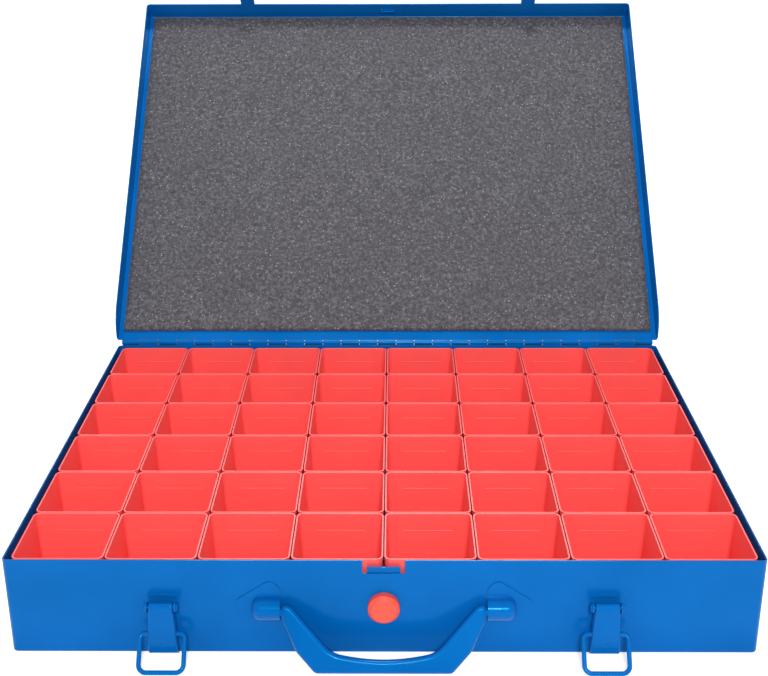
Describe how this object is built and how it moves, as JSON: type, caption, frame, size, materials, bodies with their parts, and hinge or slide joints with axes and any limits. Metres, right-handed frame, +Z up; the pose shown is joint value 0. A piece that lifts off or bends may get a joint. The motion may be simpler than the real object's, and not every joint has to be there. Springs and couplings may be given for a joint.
{
  "type": "drill bit case",
  "caption": "Flat steel case with a hinged lid that stands open, removable plastic bins, a swing handle, toggle latches and a push-button catch.",
  "frame": {"origin": "centre of the tray's underside, on the surface the case rests on", "axes": "+X to the right and +Y to the back, seen from the front wall with the handle; +Z up"},
  "size_m": [0.4432, 0.5952, 0.3177],
  "materials": {
    "blue_powder_coat": "gloss",
    "blue_handle": "gloss",
    "red_plastic": "satin",
    "dark_foam": "matte",
    "bare_steel": "satin"
  },
  "bodies": {
    "base": {"base_tray": "blue_powder_coat", "hinge_base_leaf": "blue_powder_coat", "hinge_pin": "bare_steel", "handle_bracket_left": "blue_powder_coat", "handle_bracket_right": "blue_powder_coat", "latch_left_plate": "blue_powder_coat", "latch_left_pin": "blue_powder_coat", "latch_left_rivets": "blue_powder_coat", "latch_right_plate": "blue_powder_coat", "latch_right_pin": "blue_powder_coat", "latch_right_rivets": "blue_powder_coat"},
    "lid": {"lid_shell": "blue_powder_coat", "lid_striker": "blue_powder_coat", "lid_foam": "dark_foam", "hinge_lid_leaf": "blue_powder_coat"},
    "handle": {"handle": "blue_handle"},
    "left_lever": {"latch_left_lever": "blue_powder_coat"},
    "left_bail": {"latch_left_bail": "blue_powder_coat"},
    "right_lever": {"latch_right_lever": "blue_powder_coat"},
    "right_bail": {"latch_right_bail": "blue_powder_coat"},
    "button": {"release_button": "red_plastic"},
    "catch": {"catch_spring": "blue_powder_coat"},
    "bins_1": {"bins_row_1": "red_plastic"},
    "bins_2": {"bins_row_2": "red_plastic"},
    "bins_3": {"bins_row_3": "red_plastic"},
    "bins_4": {"bins_row_4": "red_plastic"},
    "bins_5": {"bins_row_5": "red_plastic"},
    "bins_6": {"bins_row_6": "red_plastic"}
  },
  "joints": [
    {"name": "lid_hinge", "type": "hinge", "parent": "base", "child": "lid", "pos_m": [0, 0.1671, 0.0648], "axis": [-1, 0, 0], "range_deg": [-136, 0]},
    {"name": "handle_swing", "type": "hinge", "parent": "base", "child": "handle", "pos_m": [0, -0.17, 0.0318], "axis": [-1, 0, 0], "range_deg": [-28, 150]},
    {"name": "button_press", "type": "slide", "parent": "base", "child": "button", "axis": [0, 1, 0], "range_m": [0, 0.0012], "stiffness_N_per_m": 800, "springref_m": -0.001},
    {"name": "catch_flex", "type": "hinge", "parent": "base", "child": "catch", "pos_m": [0, -0.1639, 0.004], "axis": [-1, 0, 0], "range_deg": [0, 1.5], "stiffness_Nm_per_rad": 0.05},
    {"name": "left_lever_swing", "type": "hinge", "parent": "base", "child": "left_lever", "pos_m": [-0.1285, -0.1724, 0.03646], "axis": [-1, 0, 0], "range_deg": [0, 140]},
    {"name": "left_bail_swing", "type": "hinge", "parent": "left_lever", "child": "left_bail", "pos_m": [-0.1285, -0.1724, 0.01856], "axis": [-1, 0, 0], "range_deg": [-53, 150]},
    {"name": "right_lever_swing", "type": "hinge", "parent": "base", "child": "right_lever", "pos_m": [0.1285, -0.1724, 0.03646], "axis": [-1, 0, 0], "range_deg": [0, 140]},
    {"name": "right_bail_swing", "type": "hinge", "parent": "right_lever", "child": "right_bail", "pos_m": [0.1285, -0.1724, 0.01856], "axis": [-1, 0, 0], "range_deg": [-53, 150]},
    {"name": "bins_1_lift", "type": "slide", "parent": "base", "child": "bins_1", "axis": [0, 0, 1], "range_m": [0, 0.07]},
    {"name": "bins_2_lift", "type": "slide", "parent": "base", "child": "bins_2", "axis": [0, 0, 1], "range_m": [0, 0.07]},
    {"name": "bins_3_lift", "type": "slide", "parent": "base", "child": "bins_3", "axis": [0, 0, 1], "range_m": [0, 0.07]},
    {"name": "bins_4_lift", "type": "slide", "parent": "base", "child": "bins_4", "axis": [0, 0, 1], "range_m": [0, 0.07]},
    {"name": "bins_5_lift", "type": "slide", "parent": "base", "child": "bins_5", "axis": [0, 0, 1], "range_m": [0, 0.07]},
    {"name": "bins_6_lift", "type": "slide", "parent": "base", "child": "bins_6", "axis": [0, 0, 1], "range_m": [0, 0.07]}
  ],
  "couplings": [
    {"joint": "catch_flex", "follows": "button_press", "rad_per_m": 21.81}
  ]
}
